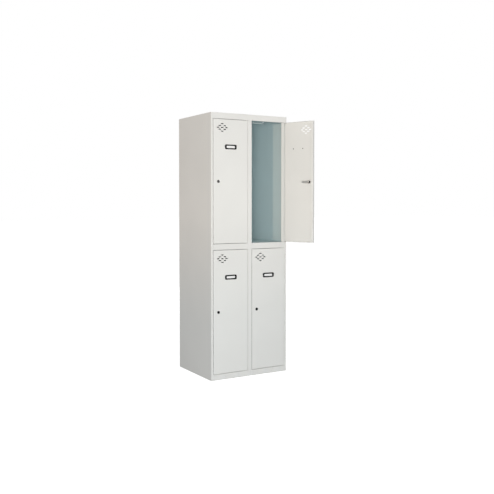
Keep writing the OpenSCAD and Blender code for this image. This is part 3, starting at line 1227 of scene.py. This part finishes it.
@dataclass
class Studio:
    """A pale floor in a white surround, with soft boxes and a low warm lamp on the left."""

    camera_at: tuple[float, float, float] = (-2.4945, -4.4436, 1.2041)
    heading: float = -30.515
    tilt: float = 1.83
    lens: float = 51.756
    shift: float = -0.0457
    film: float = 36.0
    glow: float = 0.37
    floor_glow: float = 0.72
    floor_half: float = 40.0
    lamps: tuple[Lamp, ...] = (
        Lamp("front_box", (-2.9, -4.9, 1.30), 126.0, 1.2, (0.97, 1.0, 1.0)),
        Lamp("right_box", (2.2, -4.4, 2.4), 28.0, 2.4),
        Lamp("low_box", (-1.7, -4.2, 0.35), 31.0, 1.6, (0.92, 0.97, 1.0), aim=(0.0, -0.2, 0.2)),
        Lamp("left_box", (-3.6, -0.9, 2.8), 5.0, 1.2, (1.0, 0.90, 0.82), aim=(-0.3, 0.0, 1.6)),
        Lamp("left_lamp", (-8.0, -4.9, 0.75), 0.51, 1.0, (1.0, 0.72, 0.50), True),
        Lamp("rear_box", (2.6, 4.0, 2.6), 50.0, 2.6),
    )

    def floor(self) -> None:
        """A large pale floor under the cabinet."""
        half = self.floor_half
        corners = [(-half, -half, 0.0), (half, -half, 0.0), (half, half, 0.0), (-half, half, 0.0)]
        mesh = bpy.data.meshes.new("studio_floor")
        mesh.from_pydata(corners, [], [(0, 1, 2, 3)])
        piece = bpy.data.objects.new("studio_floor", mesh)
        bpy.context.scene.collection.objects.link(piece)
        graph = Graph("studio_floor_paint")
        tone = graph.mix(graph.noise(1.5, 2.0), (0.93, 0.93, 0.93), (0.90, 0.90, 0.90))
        paint = graph.finish(
            Base_Color=tone,
            Roughness=0.9,
            Specular_IOR_Level=0.0,
            Emission_Color=(1.0, 1.0, 1.0),
            Emission_Strength=self.floor_glow,
        )
        mesh.materials.append(paint)
        piece.visible_diffuse = False
        piece.visible_glossy = False

    def surround(self) -> None:
        """A white backdrop that lights the cabinet only softly."""
        world = bpy.data.worlds.new("studio_world")
        bpy.context.scene.world = world
        world.use_nodes = True
        nodes, links = world.node_tree.nodes, world.node_tree.links
        soft = nodes["Background"]
        soft.name = "Soft"
        soft.inputs["Strength"].default_value = self.glow
        bright = nodes.new("ShaderNodeBackground")
        for back in (soft, bright):
            back.inputs["Color"].default_value = (1.0, 1.0, 1.0, 1.0)
        path = nodes.new("ShaderNodeLightPath")
        share = nodes.new("ShaderNodeMixShader")
        links.new(path.outputs["Is Camera Ray"], share.inputs[0])
        links.new(soft.outputs[0], share.inputs[1])
        links.new(bright.outputs[0], share.inputs[2])
        links.new(share.outputs[0], nodes["World Output"].inputs["Surface"])

    def camera(self) -> None:
        """The camera: tilted a little down, with its frame shifted down for the rest of the way."""
        data = bpy.data.cameras.new("camera")
        data.lens, data.sensor_width, data.shift_y = self.lens, self.film, self.shift
        camera = bpy.data.objects.new("camera", data)
        camera.location = self.camera_at
        camera.rotation_euler = (radians(90.0 - self.tilt), 0.0, radians(self.heading))
        bpy.context.scene.collection.objects.link(camera)
        bpy.context.scene.camera = camera

    def build(self) -> None:
        """Sets the studio up."""
        bpy.context.scene.view_settings.view_transform = "Standard"
        self.camera()
        self.floor()
        self.surround()
        for lamp in self.lamps:
            lamp.build()


@dataclass
class Carcass:
    """The folded panels, which keep their CAD shape and take one paint, with painted shade on the faces
    inside the compartments.
    """

    painted: tuple[str, ...] = (
        "side_panel_left", "side_panel_right", "partition", "mullion", "back_panel", "top_panel",
        "base_panel_left", "base_panel_right", "mid_shelf_left", "mid_shelf_right",
    )

    def build(self, paint: bpy.types.Material) -> None:
        """Dresses the panels.

        Args:
            paint: the panels' finish.
        """
        for node in self.painted:
            dress(node, paint)
            LOG.info("%s: painted", node)


@dataclass(frozen=True)
class Finishes:
    """Every finish that more than one piece shares."""

    # The inner colour is painted shade for the compartments' inner faces.
    paint: PowderCoat = PowderCoat("cabinet_paint", (0.79, 0.787, 0.762), inner_shade_colour=(0.615, 0.72, 0.73))
    zinc: PlatedMetal = PlatedMetal("zinc_plate", (0.62, 0.63, 0.64), (0.70, 0.66, 0.58))
    satin: PlatedMetal = PlatedMetal(
        "satin_rail", (0.95, 0.98, 0.98), (0.88, 0.93, 0.94), 0.26, (0.05, 1.0, 1.0), metallic=0.15)
    plug_black: PlatedMetal = PlatedMetal("plug_black", (0.03, 0.03, 0.032), (0.08, 0.08, 0.08), 0.36)
    plug_nickel: PlatedMetal = PlatedMetal("plug_nickel", (0.22, 0.22, 0.22), (0.32, 0.31, 0.30), 0.34)
    rivet: PlatedMetal = PlatedMetal("rivet_aluminium", (0.74, 0.74, 0.73), (0.66, 0.66, 0.66), 0.38)
    black: Moulding = Moulding(
        "black_plastic", (0.005, 0.005, 0.006), (0.018, 0.018, 0.018), 0.3, specular=0.25)
    nylon: Moulding = Moulding("natural_nylon", (0.72, 0.71, 0.66), (0.60, 0.59, 0.54), 0.5)
    rubber: Moulding = Moulding("buffer_rubber", (0.05, 0.05, 0.05), (0.14, 0.14, 0.13), 0.75)
    card: CardStock = CardStock("label_paper", (0.93, 0.93, 0.92), (0.84, 0.84, 0.82))
    door_colour: Colour = (0.80, 0.798, 0.772)
    open_door: Place = Place.UPPER_RIGHT
    smoked_lock: Place = Place.UPPER_LEFT

    def door_paint(self, leaf: Leaf) -> PowderCoat:
        """A door's paint, with more painted shade in the edge gap of a door that stands shut."""
        # Painted shade in the edge gap: strong on shut doors, faint on the open one.
        gap_shade = OPEN_GAP_SHADE if leaf.place is self.open_door else SHUT_GAP_SHADE
        return PowderCoat(leaf.node("door_paint"), self.door_colour, leaf=leaf, gap_shade=gap_shade)

    def lock_look(self, place: Place) -> LockLook:
        """How the lock of one door looks."""
        return LockLook.SMOKED if place is self.smoked_lock else LockLook.BLACK


def main() -> None:
    """Builds the cabinet's looks in order."""
    logging.basicConfig(level=logging.INFO, format="%(message)s")
    Studio().build()
    finishes = Finishes()
    white, zinc, satin = finishes.paint.material(), finishes.zinc.material(), finishes.satin.material()
    plugs = {LockLook.BLACK: finishes.plug_black.material(), LockLook.SMOKED: finishes.plug_nickel.material()}
    rivet, black = finishes.rivet.material(), finishes.black.material()
    looks = {look: look.material() for look in LockLook}
    nylon, rubber, card = finishes.nylon.material(), finishes.rubber.material(), finishes.card.material()
    Carcass().build(white)
    HingeSet().build(nylon, zinc)
    Fixings().build(rubber, rivet)
    for place in Place:
        leaf = Leaf(place)
        dress(leaf.node("door_panel"), finishes.door_paint(leaf).material())
        dress(leaf.node("hinge_plates"), zinc)
        LabelHolder(leaf).build(black, card)
        look = finishes.lock_look(place)
        CamLock(leaf).build(looks[look], plugs[look], zinc)
        CoatRail(place).build(satin)
        LOG.info("%s: door, label holder, lock and rail done", place.value)


if __name__ == "__main__":
    main()
